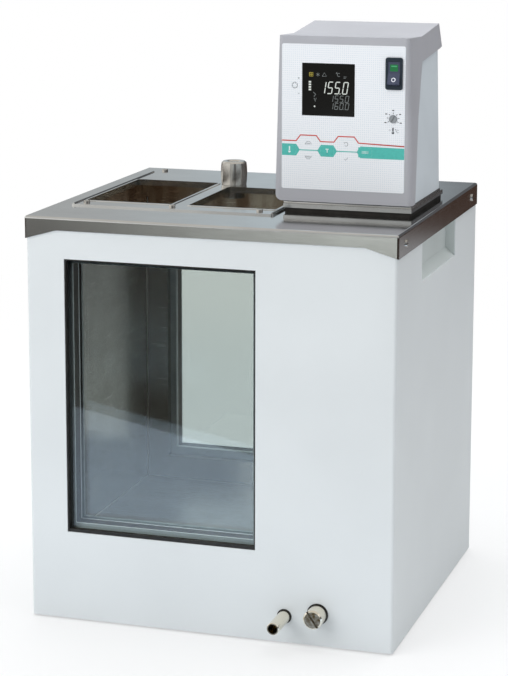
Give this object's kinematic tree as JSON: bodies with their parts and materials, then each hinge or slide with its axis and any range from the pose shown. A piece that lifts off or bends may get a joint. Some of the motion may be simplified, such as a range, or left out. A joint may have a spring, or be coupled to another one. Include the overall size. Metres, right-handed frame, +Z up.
{
  "type": "laboratory water bath",
  "caption": "Cubic bench-top laboratory water bath with a window in its front and back, hemmed bath openings, a drain nozzle and an upright control head.",
  "frame": {"origin": "on the worktop, midway between the drain nozzle's tip and the back of the rim, at mid width", "axes": "+X to the bath's right seen from its front, +Y to its back, +Z up"},
  "size_m": [0.3678, 0.376, 0.5705],
  "materials": {
    "powder_coat": "fine powder coat, light grey",
    "stainless": "ground stainless sheet",
    "polished_steel": "turned and polished stainless steel",
    "clear_glass": "clear float glass",
    "black_rubber": "black rubber",
    "spacer_bar": "bright spacer bar",
    "seal_grey": "grey sealant",
    "foam": "rigid foam",
    "brass": "machined brass",
    "frame_plastic": "moulded plastic, grey-lilac",
    "panel_plastic": "moulded plastic, light blue-grey",
    "front_film": "printed polyester film, white",
    "display_black": "black display window",
    "module_white": "display module",
    "switch_black": "dark moulded switch",
    "switch_paddle": "grey and lit green paddle",
    "adjuster_plastic": "white slotted adjuster",
    "circuit_board": "green circuit board",
    "motor_grey": "painted motor housing",
    "core_steel": "laminated core",
    "black_plastic": "black moulded plastic",
    "white_plastic": "white moulded plastic",
    "plain_steel": "plain steel",
    "cup_grey": "painted grip cup"
  },
  "bodies": {
    "bath": {"casing_shell": "powder_coat", "rear_panel": "powder_coat", "casing_screws": "polished_steel", "base_plate": "plain_steel", "rubber_feet": "black_rubber", "bath_tank": "stainless", "insulation": "foam", "top_rim": "stainless", "bath_cover": "stainless", "cover_screws": "polished_steel", "grip_cup_right": "cup_grey", "grip_cup_left": "cup_grey", "front_outer_pane": "clear_glass", "front_inner_pane": "clear_glass", "rear_outer_pane": "clear_glass", "rear_inner_pane": "clear_glass", "window_gaskets": "black_rubber", "window_spacers": "spacer_bar", "window_inner_seals": "seal_grey", "drain_pipe": "plain_steel", "drain_valve_body": "brass", "drain_nozzle": "polished_steel", "drain_washers": "black_rubber", "flange_seal": "black_rubber", "head_flange": "stainless", "head_gasket": "black_rubber", "flange_screws": "polished_steel", "head_front_frame": "frame_plastic", "head_body": "panel_plastic", "head_chassis": "plain_steel", "front_sheet": "front_film", "display_glass": "display_black", "display_module": "module_white", "front_board": "circuit_board", "rocker_housing": "switch_black", "adjuster_body": "black_plastic", "mains_inlet": "black_plastic", "main_board": "circuit_board", "transformer": "core_steel", "pump_motor": "motor_grey", "pump_housing": "stainless", "heater": "polished_steel", "temperature_sensor": "polished_steel", "float_stem": "polished_steel"},
    "mains_rocker": {"rocker_paddle": "switch_paddle"},
    "overtemp_adjuster": {"adjuster_screw": "adjuster_plastic"},
    "drain_plug": {"drain_screw": "brass"},
    "port_stopper": {"port_plug": "polished_steel"},
    "pump_rotor": {"pump_shaft": "polished_steel", "pump_impeller": "white_plastic", "cooling_fan": "black_plastic"},
    "water_float": {"level_float": "white_plastic"},
    "button_thermometer": {"key_thermometer": "front_film"},
    "button_up": {"key_up": "front_film"},
    "button_down": {"key_down": "front_film"},
    "button_temperature": {"key_temperature": "front_film"},
    "button_return": {"key_return": "front_film"},
    "button_accept": {"key_accept": "front_film"},
    "button_menu": {"key_menu": "front_film"}
  },
  "joints": [
    {"name": "mains_rocker_tilt", "type": "hinge", "parent": "bath", "child": "mains_rocker", "pos_m": [0.1522, -0.0537, 0.5324], "axis": [1, 0, 0], "range_deg": [0, 20]},
    {"name": "overtemp_adjuster_turn", "type": "hinge", "parent": "bath", "child": "overtemp_adjuster", "pos_m": [0.1516, -0.0557, 0.4899], "axis": [0, 1, 0], "range_deg": [0, 270]},
    {"name": "drain_plug_turn", "type": "hinge", "parent": "bath", "child": "drain_plug", "pos_m": [0.1085, -0.1505, 0.033], "axis": [0, 1, 0], "range_deg": [0, 360]},
    {"name": "port_stopper_lift", "type": "slide", "parent": "bath", "child": "port_stopper", "axis": [0, 0, 1], "range_m": [0, 0.05]},
    {"name": "pump_rotor_spin", "type": "hinge", "parent": "bath", "child": "pump_rotor", "pos_m": [0.126, 0.03, 0.44], "axis": [0, 0, 1], "continuous": true},
    {"name": "water_float_rise", "type": "slide", "parent": "bath", "child": "water_float", "axis": [0, 0, 1], "range_m": [0, 0.012]},
    {"name": "button_thermometer_press", "type": "slide", "parent": "bath", "child": "button_thermometer", "axis": [0, 1, 0], "range_m": [0, 0.0004], "stiffness_N_per_m": 800},
    {"name": "button_up_press", "type": "slide", "parent": "bath", "child": "button_up", "axis": [0, 1, 0], "range_m": [0, 0.0004], "stiffness_N_per_m": 800},
    {"name": "button_down_press", "type": "slide", "parent": "bath", "child": "button_down", "axis": [0, 1, 0], "range_m": [0, 0.0004], "stiffness_N_per_m": 800},
    {"name": "button_temperature_press", "type": "slide", "parent": "bath", "child": "button_temperature", "axis": [0, 1, 0], "range_m": [0, 0.0004], "stiffness_N_per_m": 800},
    {"name": "button_return_press", "type": "slide", "parent": "bath", "child": "button_return", "axis": [0, 1, 0], "range_m": [0, 0.0004], "stiffness_N_per_m": 800},
    {"name": "button_accept_press", "type": "slide", "parent": "bath", "child": "button_accept", "axis": [0, 1, 0], "range_m": [0, 0.0004], "stiffness_N_per_m": 800},
    {"name": "button_menu_press", "type": "slide", "parent": "bath", "child": "button_menu", "axis": [0, 1, 0], "range_m": [0, 0.0004], "stiffness_N_per_m": 800}
  ]
}
